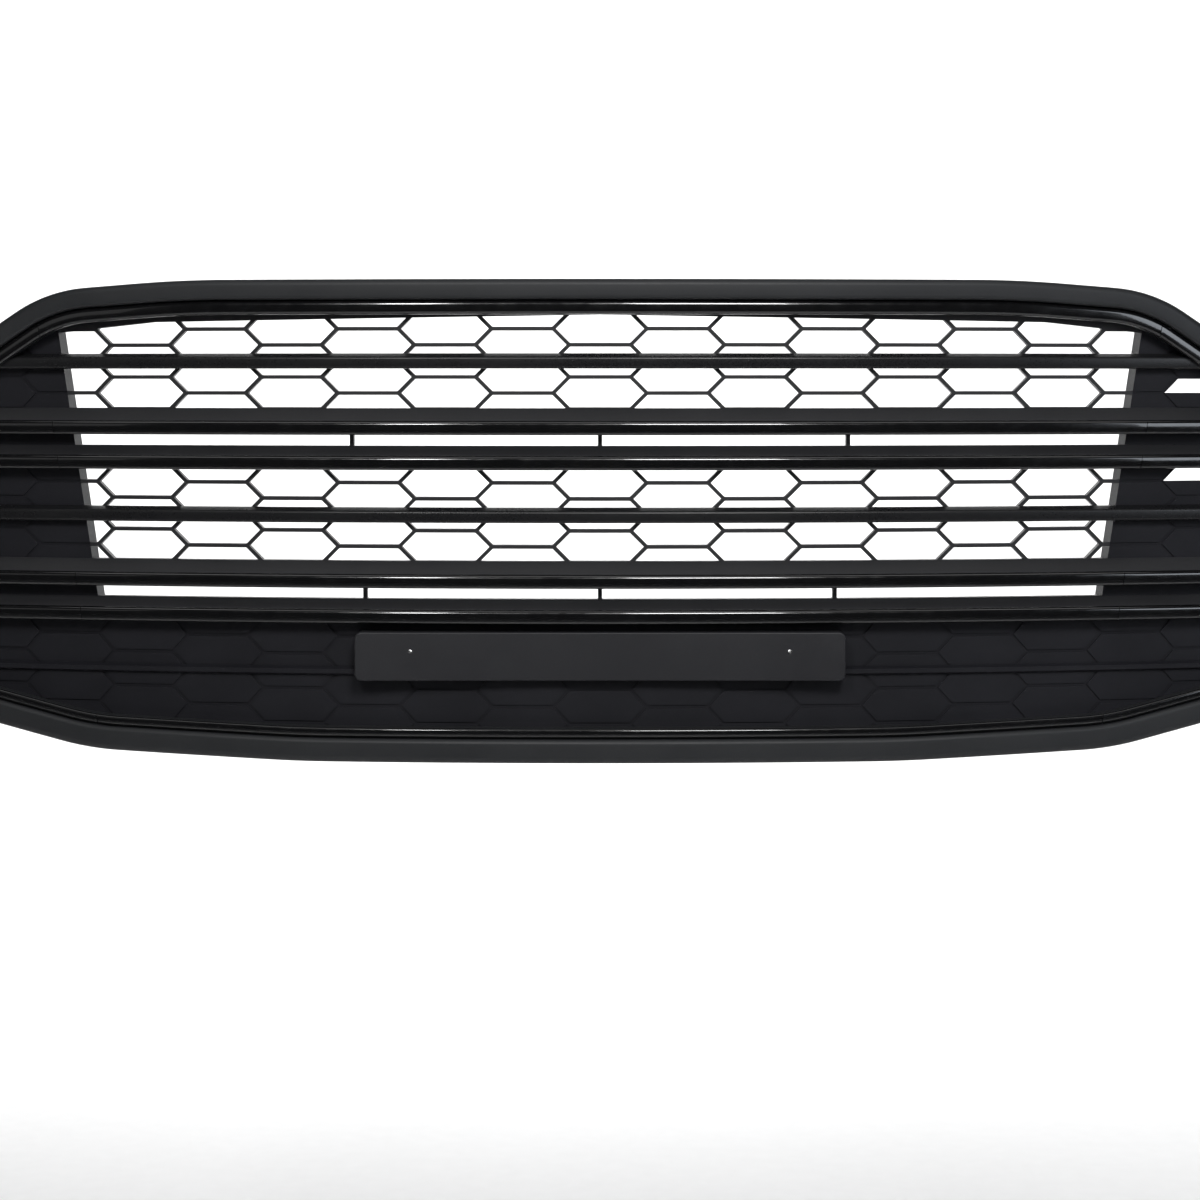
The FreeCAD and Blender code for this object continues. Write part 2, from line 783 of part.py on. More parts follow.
def make_surround(screws, tabs, holes):
    """The matte surround: a swept channel, open behind, with a flange for the gloss ring."""
    face = common("surround_face", cut("surround_outline", outer_edge, face_edge),
                  layer("surround_layer", "0", "surround_depth"))
    rolled = roll_front_edge("surround_rolled", face, "0", outer_edge, "outer_roll")
    hollow = common("surround_hollow", cut("hollow_outline", skin_inside, skirt_outside),
                    layer("hollow_layer", "surround_wall", "2 * surround_depth"))
    flange = common("surround_flange", cut("flange_outline", face_edge, trim_edge),
                    layer("flange_layer", TRIM_SEAT, "core_front"))
    channel = cut("surround_channel", rolled, hollow)
    whole = fuse("surround_whole", channel, flange, *tabs)
    return cut("surround", whole, *screws, *holes)


# ---------------------------------------------------------------- assembly

bars = [make_bar(number, base, ledge) for number, base, ledge, _ in BARS]
blades = [piece for number, base, _, half in BARS for piece in make_blade(number, base, half)]
thin_bars = [
    make_thin_bar("thin_bar_upper", "upper_centre"),
    make_thin_bar("thin_bar_lower", "lower_centre"),
]
ring_strips = make_ring_strips()

SCREW_TOP = f"({FACE_TOP} + {TRIM_TOP}) / 2"
SCREW_BOTTOM = f"({FACE_BOTTOM} + {TRIM_BOTTOM}) / 2"
top_screws = make_screws("top_screws", CORE_BACK, SCREW_TOP, "screw_spacing",
                         TOP_SCREWS, "core_thickness")
bottom_screws = make_screws("bottom_screws", PANEL_BACK, SCREW_BOTTOM, "screw_spacing",
                            BOTTOM_SCREWS, "panel_thickness")
pad_screws = make_screws("pad_screws", PANEL_BACK, "pilot_centre", "pad_screw_spacing",
                         PAD_SCREWS, "panel_thickness")
pilot_holes = [make_pilot_hole("pilot_hole_left", -1), make_pilot_hole("pilot_hole_right", 1)]

upper_blank = cut("mesh_upper_drilled", make_core("mesh_upper", UPPER_SPLIT, FACE_TOP),
                  top_screws)
mesh_upper = make_mesh("mesh_upper", upper_blank, make_upper_window(), "upper_centre")
lower_window = slab("lower_window", LOWER_SILL, "second_base")
mesh_lower = make_mesh("mesh_lower", make_core("mesh_lower", LOWER_SPLIT, UPPER_SLOT_SPLIT),
                       lower_window, "lower_centre")
slot_frames = [
    make_slot_frame("slot_frame_upper",
                    make_core("slot_frame_upper", UPPER_SLOT_SPLIT, UPPER_SPLIT),
                    UPPER_SLOT_SILL, "first_base", "upper_slot_rib"),
    make_slot_frame("slot_frame_lower",
                    make_core("slot_frame_lower", PANEL_SPLIT, LOWER_SPLIT),
                    LOWER_SLOT_SILL, "third_base", "lower_slot_rib"),
]

upper_grooves = make_grooves("upper_grooves", "upper_centre", "cell_pitch_z",
                             UPPER_SILL, TRIM_TOP)
lower_grooves = make_grooves("lower_grooves", "lower_centre", "cell_pitch_z",
                             LOWER_SILL, "second_base")
panel_grooves = make_grooves("panel_grooves", "divider_centre", "relief_pitch_z",
                             TRIM_BOTTOM, "fourth_base")
wing_blank = make_right_wing_blank([upper_grooves, lower_grooves])
wing_left = mirror_image(wing_blank, "wing_left")
wing_right = cut(
    "wing_right", wing_blank,
    make_open_cell("upper_open_cell", "upper_centre", -1, "upper_centre - cell_pitch_z / 2"),
    make_open_cell("lower_open_cell", "lower_centre", 1, "second_base"),
)

divider = make_divider()
panel_sheet = common("panel_sheet", panel_layer, slab("panel_band", FACE_BOTTOM, PANEL_SPLIT),
                     face_edge)
panel_body = cut("panel_body", fuse("panel_whole", cut("panel_relief", panel_sheet,
                                                       panel_grooves), divider),
                 bottom_screws, pad_screws, *pilot_holes)
panel_segments = [
    common(f"lower_panel_{side}", panel_body, upright_band(f"panel_band_{side}", left, right))
    for side, left, right in (
        ("far_left", f"-{HALF_WIDTH}", "-outer_joint"),
        ("left", "-outer_joint", "-inner_joint"),
        ("centre", "-inner_joint", "inner_joint"),
        ("right", "inner_joint", "outer_joint"),
        ("far_right", "outer_joint", HALF_WIDTH),
    )
]
plate_pad = make_pad(swept_cylinder("core_front"), divider, pad_screws)

tabs, tab_holes, nuts = make_tabs()
surround = make_surround([top_screws, bottom_screws], tabs, tab_holes)
doc.recompute()
spring_nuts = computed("spring_nuts", Part.makeCompound([nut.Shape for nut in nuts]))
doc.recompute()

SUBPARTS = (
    [surround] + ring_strips + blades + bars + thin_bars + [mesh_upper, mesh_lower]
    + slot_frames + [wing_left, wing_right] + panel_segments + [plate_pad]
    + [top_screws, bottom_screws, pad_screws, spring_nuts]
)

for item in doc.Objects:
    if any(state in ("Invalid", "Error") for state in item.State):
        raise RuntimeError(f"{item.Name} failed: {item.State}")
for item in SUBPARTS:
    item.Label = item.Name
    if item.Shape.isNull() or not item.Shape.isValid() or not item.Shape.Solids:
        raise RuntimeError(f"{item.Name} has no valid solid")

os.makedirs("parts", exist_ok=True)
for item in SUBPARTS:
    item.Shape.exportStep(f"parts/{item.Name}.step")
    print(f"{item.Name:22s} {len(item.Shape.Solids):3d} solids {item.Shape.Volume / 1000:9.1f} cm3")
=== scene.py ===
import json
import math

import bmesh
import bpy
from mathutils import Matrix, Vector


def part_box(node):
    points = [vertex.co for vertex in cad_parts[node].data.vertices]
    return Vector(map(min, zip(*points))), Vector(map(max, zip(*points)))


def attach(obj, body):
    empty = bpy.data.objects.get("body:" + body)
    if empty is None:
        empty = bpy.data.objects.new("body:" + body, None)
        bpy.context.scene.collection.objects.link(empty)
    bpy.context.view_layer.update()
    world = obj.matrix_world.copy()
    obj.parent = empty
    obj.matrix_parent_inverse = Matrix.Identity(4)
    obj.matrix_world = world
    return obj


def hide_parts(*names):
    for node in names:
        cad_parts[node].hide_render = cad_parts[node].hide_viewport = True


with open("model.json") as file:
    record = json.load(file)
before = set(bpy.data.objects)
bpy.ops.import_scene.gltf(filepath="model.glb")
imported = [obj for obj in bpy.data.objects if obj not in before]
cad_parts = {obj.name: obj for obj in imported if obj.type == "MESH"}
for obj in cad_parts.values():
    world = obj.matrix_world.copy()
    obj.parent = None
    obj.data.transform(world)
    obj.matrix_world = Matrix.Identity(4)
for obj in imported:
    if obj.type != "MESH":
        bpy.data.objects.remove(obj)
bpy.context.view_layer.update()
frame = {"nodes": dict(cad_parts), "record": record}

# Front grille. Metres, +X to the right as seen from in front, +Y rearward, +Z up, origin at
# the centre of the bounding box. Every layer follows a cylinder about one upright axis.

# ---------------------------------------------------------------- shape of the grille

SWEEP = 2.6
LOW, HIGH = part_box("surround")
HALF_WIDTH = HIGH.x
HALF_HEIGHT = HIGH.z
AXIS_Y = SWEEP + LOW.y
# Corners of the right half: distance in from the side, distance down from the top, radius.
CORNERS = (
    (0.2500, 0.0000, 1.200), (0.1170, 0.0096, 0.150), (0.0000, 0.0843, 0.100),
    (0.0000, 0.4161, 0.058), (0.1530, 0.4527, 0.300), (0.3600, 0.4610, 1.500),
)
# Insets of the inner edges of the face and of the gloss ring, and how far the first is
# shifted up.
FACE = 0.0211
RING = 0.0332
LIFT = 0.0019
# Seams of the gloss pieces: distance from the middle, lean and half of the gap.
SEAM = 0.516
SEAM_SLOPE = 0.1408
SEAM_HALF_GAP = 0.0003


def swept(x, depth, z):
    """The point at a depth behind the foremost surface."""
    return (x, AXIS_Y - math.sqrt((SWEEP - depth) ** 2 - x * x), z)


def outline(step=0.006):
    """Points and inward normals round the outline, anticlockwise from the bottom centre."""
    half = [Vector((HALF_WIDTH - dx, HALF_HEIGHT - dz)) for dx, dz, _ in CORNERS]
    radii = [radius for _, _, radius in CORNERS]
    corners = half[::-1] + [Vector((-p.x, p.y)) for p in half]
    radii = radii[::-1] + radii
    count = len(corners)
    path = []
    for i in range(count):
        here, before, after = corners[i], corners[i - 1], corners[(i + 1) % count]
        to_before, to_after = (before - here).normalized(), (after - here).normalized()
        turn = math.pi - to_before.angle(to_after)
        tangent = radii[i] * math.tan(turn / 2)
        start = here + to_before * tangent
        inward = Vector((to_before.y, -to_before.x))
        centre = start + inward * radii[i]
        pieces = max(4, math.ceil(radii[i] * turn / step))
        first = start - centre
        for k in range(pieces + 1):
            angle = turn * k / pieces
            spoke = Vector((first.x * math.cos(angle) - first.y * math.sin(angle),
                            first.x * math.sin(angle) + first.y * math.cos(angle)))
            path.append((centre + spoke, -spoke.normalized()))
    filled = []
    for i, (p, n) in enumerate(path):
        q = path[(i + 1) % len(path)][0]
        filled.append((p, n))
        gap = (q - p).length
        if gap > 2 * step and n.dot(path[(i + 1) % len(path)][1]) > 0.9999:
            extra = int(gap / (2 * step))
            filled += [(p.lerp(q, k / (extra + 1)), n) for k in range(1, extra + 1)]
    return filled


OUTLINE = outline()


def lift_at(inset):
    """How far the face's inner edge is shifted up, shared out over the insets around it."""
    return LIFT * max(0.0, min(inset / FACE, (RING - inset) / (RING - FACE)))


def inset_point(sample, inset):
    point, normal = sample
    return point.x + normal.x * inset, point.y + normal.y * inset + lift_at(inset)


def half_width_at(height, inset=RING):
    """Half width of the inset outline at a height."""
    points = [inset_point(sample, inset) for sample in OUTLINE]
    best = 0.0
    for (x0, z0), (x1, z1) in zip(points, points[1:] + points[:1]):
        if x0 > 0 and (z0 - height) * (z1 - height) <= 0 and z0 != z1:
            best = max(best, x0 + (x1 - x0) * (height - z0) / (z1 - z0))
    return best


def seam_at(height, side):
    """Half width at a seam; side -1 or 1 gives the edge towards or away from the middle."""
    return SEAM + SEAM_SLOPE * height + side * SEAM_HALF_GAP


# ---------------------------------------------------------------- mesh building

def make_object(name, mesh, smooth_angle=50):
    """An object that shades smoothly up to an angle."""
    for polygon in mesh.polygons:
        polygon.use_smooth = True
    mesh.set_sharp_from_angle(angle=math.radians(smooth_angle))
    item = bpy.data.objects.new(name, mesh)
    bpy.context.scene.collection.objects.link(item)
    return item


def mesh_from_rings(name, rings, closed_path):
    """A skin through rings of points. Each ring is a closed section; an open run is capped."""
    work = bmesh.new()
    grid = [[work.verts.new(point) for point in ring] for ring in rings]
    size = len(rings[0])
    spans = zip(grid, grid[1:] + grid[:1]) if closed_path else zip(grid, grid[1:])
    for ring, following in spans:
        for k in range(size):
            work.faces.new((ring[k], following[k], following[(k + 1) % size],
                            ring[(k + 1) % size]))
    if not closed_path:
        work.faces.new(grid[0])
        work.faces.new(grid[-1][::-1])
    bmesh.ops.recalc_face_normals(work, faces=work.faces)
    mesh = bpy.data.meshes.new(name)
    work.to_mesh(mesh)
    work.free()
    return mesh


def arc(centre, radius, start, end, pieces):
    """Points on an arc in a section, from one angle in degrees to another."""
    turn = (end - start) / pieces
    return [(centre[0] + radius * math.cos(math.radians(start + turn * k)),
             centre[1] + radius * math.sin(math.radians(start + turn * k)))
            for k in range(pieces + 1)]


def ring_sweep(name, section):
    """Sweep a section, given as (inset, depth), all round the outline."""
    rings = [[swept(x, depth, z) for inset, depth in section
              for x, z in [inset_point(sample, inset)]] for sample in OUTLINE]
    return mesh_from_rings(name, rings, True)


def between(points, start, end, pieces):
    """Resample an open run of points between two positions along it."""
    lengths = [0.0]
    for a, b in zip(points, points[1:]):
        lengths.append(lengths[-1] + math.hypot(b[0] - a[0], b[1] - a[1]))

    def at(target):
        for k in range(len(points) - 1):
            if lengths[k + 1] >= target:
                share = (target - lengths[k]) / max(lengths[k + 1] - lengths[k], 1e-9)
                a, b = points[k], points[k + 1]
                return a[0] + (b[0] - a[0]) * share, a[1] + (b[1] - a[1]) * share
        return points[-1]

    def crossing(test):
        """Distance along the run at which a test first changes sign."""
        last = test(*points[0])
        for k in range(1, len(points)):
            value = test(*points[k])
            if last * value <= 0 and last != value:
                share = last / (last - value)
                return lengths[k - 1] + (lengths[k] - lengths[k - 1]) * share
            last = value
        return lengths[-1]

    first = crossing(start)
    final = crossing(end)
    return [at(first + (final - first) * k / pieces) for k in range(pieces + 1)]


def ring_part(name, section, start, end, samples, pieces):
    """Sweep a section along a run of the outline between two cutting lines."""
    columns = []
    for inset, depth in section:
        run = [inset_point(sample, inset) for sample in samples]
        columns.append([swept(x, depth, z) for x, z in between(run, start, end, pieces)])
    rings = [list(ring) for ring in zip(*columns)]
    return mesh_from_rings(name, rings, False)


def cross_strip(name, section, left, right, pieces):
    """Sweep a section, given as (depth, height), across the grille."""
    ends = [(depth, z, left(z), right(z)) for depth, z in section]
    rings = [[swept(a + (b - a) * k / pieces, depth, z) for depth, z, a, b in ends]
             for k in range(pieces + 1)]
    return mesh_from_rings(name, rings, False)


def finish_piece(item, slot, *nodes):
    """Join a piece to the frame and give it its material."""
    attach(item, "root")
    if nodes:
        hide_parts(*nodes)
    item.data.materials.clear()
    item.data.materials.append(materials[slot])
    return item


# ---------------------------------------------------------------- materials

def new_material(name, color, roughness, **inputs):
    """A principled material; returns it with its node tree and shader."""
    material = bpy.data.materials.new(name)
    material.use_nodes = True
    tree = material.node_tree
    shader = tree.nodes["Principled BSDF"]
    shader.inputs["Base Color"].default_value = (*color, 1)
    shader.inputs["Roughness"].default_value = roughness
    for key, value in inputs.items():
        shader.inputs[key.replace("_", " ")].default_value = value
    return material, tree, shader


def noise(tree, scale, detail=3.0, roughness=0.5):
    """A noise texture laid out in the object's own space."""
    coordinates = tree.nodes.get("Texture Coordinate") or tree.nodes.new("ShaderNodeTexCoord")
    texture = tree.nodes.new("ShaderNodeTexNoise")
    texture.inputs["Scale"].default_value = scale
    texture.inputs["Detail"].default_value = detail
    texture.inputs["Roughness"].default_value = roughness
    tree.links.new(coordinates.outputs["Object"], texture.inputs["Vector"])
    return texture.outputs["Fac"]


def spread(tree, value, low, high, start=0.3, end=0.7):
    """Map a texture onto a range of values."""
    node = tree.nodes.new("ShaderNodeMapRange")
    node.inputs["From Min"].default_value = start
    node.inputs["From Max"].default_value = end
    node.inputs["To Min"].default_value = low
    node.inputs["To Max"].default_value = high
    tree.links.new(value, node.inputs["Value"])
    return node.outputs["Result"]


def tint(tree, shader, value, low, high):
    """Vary the base colour between two tones."""
    node = tree.nodes.new("ShaderNodeMix")
    node.data_type = "RGBA"
    node.inputs["A"].default_value = (*low, 1)
    node.inputs["B"].default_value = (*high, 1)
    tree.links.new(value, node.inputs["Factor"])
    tree.links.new(node.outputs["Result"], shader.inputs["Base Color"])


def bump(tree, shader, layers, coat=False):
    """Stack bump layers of (texture, strength, distance)."""
    last = None
    for value, strength, distance in layers:
        node = tree.nodes.new("ShaderNodeBump")
        node.inputs["Strength"].default_value = strength
        node.inputs["Distance"].default_value = distance
        tree.links.new(value, node.inputs["Height"])
        if last:
            tree.links.new(last, node.inputs["Normal"])
        last = node.outputs["Normal"]
    tree.links.new(last, shader.inputs["Normal"])
    if coat:
        tree.links.new(last, shader.inputs["Coat Normal"])


def grained_plastic(name, dark, light, rough_low, rough_high, grain=2600, depth=0.00006,
                    specular=0.42):
    """Moulded plastic with a fine spark-eroded grain, faint flow marks and a little dust."""
    material, tree, shader = new_material(name, dark, rough_low, Specular_IOR_Level=specular)
    fine = noise(tree, grain, 2.0, 0.6)
    flow = noise(tree, 9.0, 4.0, 0.55)
    mottle = noise(tree, 420.0, 3.0, 0.6)
    tint(tree, shader, spread(tree, flow, 0.0, 1.0), dark, light)
    rough = tree.nodes.new("ShaderNodeMath")
    rough.operation = "ADD"
    tree.links.new(spread(tree, mottle, rough_low, rough_high), rough.inputs[0])
    tree.links.new(spread(tree, flow, -0.03, 0.03), rough.inputs[1])
    tree.links.new(rough.outputs["Value"], shader.inputs["Roughness"])
    bump(tree, shader, [(flow, 0.15, 0.0006), (fine, 0.45, depth)])
    return material


def piano_black():
    """High gloss black with a clear coat, slight orange peel and faint wipe marks."""
    material, tree, shader = new_material(
        "gloss_trim", (0.0035, 0.0035, 0.004), 0.16, Coat_Weight=1.0, Coat_Roughness=0.035,
        Coat_IOR=1.5, Specular_IOR_Level=0.5)
    peel = noise(tree, 260.0, 2.0, 0.5)
    wave = noise(tree, 24.0, 2.0, 0.5)
    wipe = noise(tree, 60.0, 5.0, 0.7)
    tree.links.new(spread(tree, wipe, 0.10, 0.24), shader.inputs["Roughness"])
    bump(tree, shader, [(wave, 0.10, 0.0004), (peel, 0.05, 0.00008)], coat=True)
    return material


def dark_metal(name, color):
    """Plated steel with an uneven sheen."""
    material, tree, shader = new_material(name, color, 0.38, Metallic=1.0)
    grain = noise(tree, 900.0, 4.0, 0.6)
    tree.links.new(spread(tree, grain, 0.28, 0.5), shader.inputs["Roughness"])
    bump(tree, shader, [(grain, 0.2, 0.00005)])
    return material


materials = {
    "surround_plastic": grained_plastic("surround_plastic", (0.019, 0.020, 0.022),
                                        (0.024, 0.025, 0.027), 0.44, 0.54),
    "core_plastic": grained_plastic("core_plastic", (0.020, 0.020, 0.022),
                                    (0.026, 0.026, 0.028), 0.42, 0.52),
    "panel_plastic": grained_plastic("panel_plastic", (0.013, 0.013, 0.016),
                                     (0.018, 0.018, 0.022), 0.52, 0.62, 2200,
                                     specular=0.18),
    "pad_plastic": grained_plastic("pad_plastic", (0.016, 0.016, 0.019),
                                   (0.021, 0.021, 0.024), 0.45, 0.55, 2400),
    "satin_trim": grained_plastic("satin_trim", (0.009, 0.009, 0.010),
                                  (0.012, 0.012, 0.013), 0.26, 0.34, 3200, 0.00003),
    "gloss_trim": piano_black(),
    "screw_steel": dark_metal("screw_steel", (0.16, 0.16, 0.17)),
    "nut_steel": dark_metal("nut_steel", (0.22, 0.22, 0.23)),
}

# ---------------------------------------------------------------- surround

# Depths run back from the foremost surface.
DEPTH = 0.040
WALL = 0.0032
ROLL_OUT = 0.0065
ROLL_IN = 0.0042
SEAT = 0.009
BACK = 0.022
SMALL = 0.0008


def surround_section():
    """Closed section of the channel, as (inset, depth)."""
    points = [(0.0, DEPTH)]
    points += arc((ROLL_OUT, ROLL_OUT), ROLL_OUT, 180, 270, 9)
    points += arc((FACE - ROLL_IN, ROLL_IN), ROLL_IN, -90, 0, 7)
    points += [(FACE, SEAT - SMALL), (FACE + SMALL, SEAT), (RING - SMALL, SEAT)]
    points += [(RING, SEAT + SMALL), (RING, BACK), (FACE, BACK), (FACE, DEPTH)]
    points += [(FACE - WALL, DEPTH)]
    points += arc((FACE - WALL - 0.003, WALL + 0.003), 0.003, 0, -90, 4)
    points += arc((WALL + 0.003, WALL + 0.003), 0.003, 270, 180, 4)
    points += [(WALL, DEPTH)]
    return points


surround = make_object("surround_skin", ring_sweep("surround_skin", surround_section()), 35)
finish_piece(surround, "surround_plastic", "surround")


TAB_THICK = 0.003
TAB_WIDE = 0.044
HOLE_MARGIN = 0.011


def tab(name, x, top, hole_y, hole_radius):
    """A flat mounting tab with a round hole and rounded ends."""
    work = bmesh.new()
    root = AXIS_Y - math.sqrt(SWEEP ** 2 - x * x) + DEPTH / 2
    end = hole_y + HOLE_MARGIN
    half = TAB_WIDE / 2
    corner = 0.006
    border = [(x - half, root), (x + half, root)]
    border += arc((x + half - corner, end - corner), corner, 0, 90, 5)
    border += arc((x - half + corner, end - corner), corner, 90, 180, 5)
    circle = arc((x, hole_y), hole_radius, 0, 360, 32)[:-1]
    edges = []
    for loop in (border, circle):
        verts = [work.verts.new((px, py, top - TAB_THICK)) for px, py in loop]
        edges += [work.edges.new((verts[k], verts[(k + 1) % len(verts)]))
                  for k in range(len(verts))]
    bmesh.ops.triangle_fill(work, use_beauty=True, edges=edges)
    moved = bmesh.ops.extrude_face_region(work, geom=work.faces[:])
    bmesh.ops.translate(work, vec=(0, 0, TAB_THICK),
                        verts=[v for v in moved["geom"] if isinstance(v, bmesh.types.BMVert)])
    bmesh.ops.recalc_face_normals(work, faces=work.faces)
    mesh = bpy.data.meshes.new(name)
    work.to_mesh(mesh)
    work.free()
    item = make_object(name, mesh, 30)
    soft = item.modifiers.new("edges", "BEVEL")
    soft.width = 0.0004
    soft.segments = 2
    soft.limit_method = "ANGLE"
    return finish_piece(item, "surround_plastic")


mounts = {mount["name"]: mount for mount in frame["record"]["mounts"]}
for name, level in (("upper_tabs_inner", 0.0), ("upper_tabs_outer", 0.0),
                    ("lower_tabs_outer", TAB_THICK)):
    mount = mounts[name]
    for side in (-1, 1):
        tab(f"{name}_{'left' if side < 0 else 'right'}",
            side * mount["dims"]["spacing_x_mm"] / 2000, mount["pos_m"][2] + level,
            mount["pos_m"][1], mount["dims"]["hole_r_mm"] / 1000)
middle = mounts["lower_tab_middle"]
tab("lower_tab_middle", 0.0, middle["pos_m"][2] + TAB_THICK / 2,
    middle["pos_m"][1], middle["dims"]["r_mm"] / 1000)

# ---------------------------------------------------------------- gloss ring

TRIM_FRONT = 0.004


def ring_section():
    """Closed section of the gloss ring: a rounded outer edge and a soft inner edge."""
    low, high = FACE + 0.0003, RING
    outer, inner = 0.0046, 0.0028
    points = [(low, SEAT)]
    points += arc((low + outer, TRIM_FRONT + outer), outer, 180, 264, 9)
    points += arc((high - inner, TRIM_FRONT + inner), inner, 276, 360, 7)
    points += [(high, SEAT)]
    return points


SECTION = ring_section()
# The samples along the bottom edge are the last of the outline, and the first of the right half.
KEEL_SAMPLES = 200
# Heights past which a run counts as the top or bottom edge, and how far side runs overlap.
EDGE_HEIGHT = 0.15
OVERLAP = 0.03
right_keel = [s for s in OUTLINE[-KEEL_SAMPLES:] if s[0].x >= 0 and s[0].y < 0]
right_half = right_keel + [s for s in OUTLINE[:-KEEL_SAMPLES] if s[0].x >= 0]
top_right = [s for s in right_half if s[0].y >= 0]
bottom_right = [s for s in right_half if s[0].y <= 0]


def mirrored_samples(samples):
    """The same run on the left side, in the order that continues it."""
    return [(Vector((-p.x, p.y)), Vector((-n.x, n.y))) for p, n in samples[::-1]]


top_centre = [s for s in right_half if s[0].y > EDGE_HEIGHT]
top_centre = top_centre + mirrored_samples(top_centre)
low_centre = [s for s in right_half if s[0].y < -EDGE_HEIGHT]
low_centre = mirrored_samples(low_centre) + low_centre


def seam_test(sign, side):
    """Changes sign across a seam on the right (sign 1) or the left (sign -1)."""
    return lambda x, z: sign * x - seam_at(z, side)


def level_test(level):
    """Changes sign across a height."""
    return lambda x, z: z - level


side_above = [s for s in right_half if -OVERLAP < s[0].y <= 0] + top_right
side_below = bottom_right + [s for s in right_half if 0 < s[0].y < OVERLAP]
pieces = {
    "trim_top_centre": (seam_test(1, -1), seam_test(-1, -1), top_centre, 200),
    "trim_top_right": (level_test(SEAM_HALF_GAP), seam_test(1, 1), side_above, 90),
    "trim_bottom_right": (seam_test(1, 1), level_test(-SEAM_HALF_GAP), side_below, 90),
    "trim_bottom_centre": (seam_test(-1, -1), seam_test(1, -1), low_centre, 180),
}
for name, (start, end, samples, count) in pieces.items():
    mesh = ring_part(f"{name}_skin", SECTION, start, end, samples, count)
    finish_piece(make_object(f"{name}_skin", mesh, 50), "gloss_trim", name)
    if name.endswith("right"):
        twin = mesh.copy()
        for vertex in twin.vertices:
            vertex.co.x = -vertex.co.x
        twin.flip_normals()
        left = name.replace("right", "left")
        item = bpy.data.objects.new(f"{left}_skin", twin)
        bpy.context.scene.collection.objects.link(item)
        finish_piece(item, "gloss_trim", left)

# ---------------------------------------------------------------- bars and blades

BLADE_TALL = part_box("blade_1_centre")[1].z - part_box("blade_1_centre")[0].z


def blade_section(base):
    """Rounded front, closed at the seat, as (depth, height)."""
    top = base + BLADE_TALL
    under, over = 0.0026, 0.0044
    points = [(SEAT, base)]
    points += arc((TRIM_FRONT + under, base + under), under, 270, 185, 6)
    points += arc((TRIM_FRONT + over, top - over), over, 176, 90, 9)
    points += [(SEAT, top)]
    return points


def bar_section(base, back_top):
    """Hollow section with a sloping ledge, as (depth, height)."""
    seat = base + BLADE_TALL
    skin = 0.0034
    wall = 0.0025
    points = [(BACK, back_top), (BACK - 0.0006, back_top)]
    points += [(SEAT + 0.0012, seat + 0.0009), (SEAT, seat - 0.0006)]
    points += [(SEAT, base + 0.0008), (SEAT + 0.0008, base), (BACK, base)]
    points += [(BACK, base + wall), (SEAT + wall, base + wall)]
    slope = (back_top - seat) * wall / (BACK - SEAT)
    points += [(SEAT + wall, seat + slope - skin), (BACK, back_top - skin)]
    return points


def thin_section(low, high):
    """A slim bar with a shallow ledge on top and rounded front edges."""
    front = 0.011
    ledge = 0.003
    radius = 0.0026
    lip = high - ledge
    points = [(BACK, high), (BACK - 0.004, high - 0.0006)]
    points += arc((front + radius, lip - radius), radius, 100, 180, 6)
    points += arc((front + radius, low + radius), radius, 180, 270, 6)
    points += [(BACK, low)]
    return points


def side_edge(side):
    """The half width of the opening on one side, by height."""
    return lambda z: side * half_width_at(z)


def seam_edge(side, gap):
    """The edge of a seam on one side, by height."""
    return lambda z: side * seam_at(z, gap)


for number in (1, 2, 3, 4):
    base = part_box(f"blade_{number}_centre")[0].z
    section = blade_section(base)
    for name, left, right, count in (
        ("left", side_edge(-1), seam_edge(-1, 1), 24),
        ("centre", seam_edge(-1, -1), seam_edge(1, -1), 200),
        ("right", seam_edge(1, 1), side_edge(1), 24),
    ):
        node = f"blade_{number}_{name}"
        mesh = cross_strip(f"{node}_skin", section, left, right, count)
        finish_piece(make_object(f"{node}_skin", mesh, 50), "gloss_trim", node)
    node = f"bar_{number}"
    mesh = cross_strip(f"{node}_skin", bar_section(base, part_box(node)[1].z),
                       side_edge(-1), side_edge(1), 220)
    finish_piece(make_object(f"{node}_skin", mesh, 28), "core_plastic", node)

for node in ("thin_bar_upper", "thin_bar_lower"):
    low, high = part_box(node)
    mesh = cross_strip(f"{node}_skin", thin_section(low.z, high.z),
                       side_edge(-1), side_edge(1), 220)
    finish_piece(make_object(f"{node}_skin", mesh, 40), "satin_trim", node)

# ---------------------------------------------------------------- softened copies of nodes

def softened(node, slot, width):
    """The node's own mesh with its edges rounded."""
    mesh = frame["nodes"][node].data.copy()
    work = bmesh.new()
    work.from_mesh(mesh)
    bmesh.ops.remove_doubles(work, verts=work.verts, dist=0.00001)
    bmesh.ops.dissolve_limit(work, angle_limit=math.radians(0.4), verts=work.verts,
                             edges=work.edges)
    work.to_mesh(mesh)
    work.free()
    item = make_object(f"{node}_skin", mesh, 30)
    bevel = item.modifiers.new("edges", "BEVEL")
    bevel.width = width
    bevel.segments = 2
    bevel.limit_method = "ANGLE"
    bevel.angle_limit = math.radians(38)
    bevel.harden_normals = True
    return finish_piece(item, slot, node)


SLOT_OF = {entry["node"]: entry["material_slot"] for entry in frame["record"]["subparts"]}
for node in ("mesh_upper", "mesh_lower", "slot_frame_upper", "slot_frame_lower"):
    softened(node, SLOT_OF[node], 0.0005)
softened("plate_pad", SLOT_OF["plate_pad"], 0.0004)

# The lower panel is one moulding, which the frame holds as five nodes.
PANEL = [f"lower_panel_{part}" for part in ("far_left", "left", "centre", "right", "far_right")]


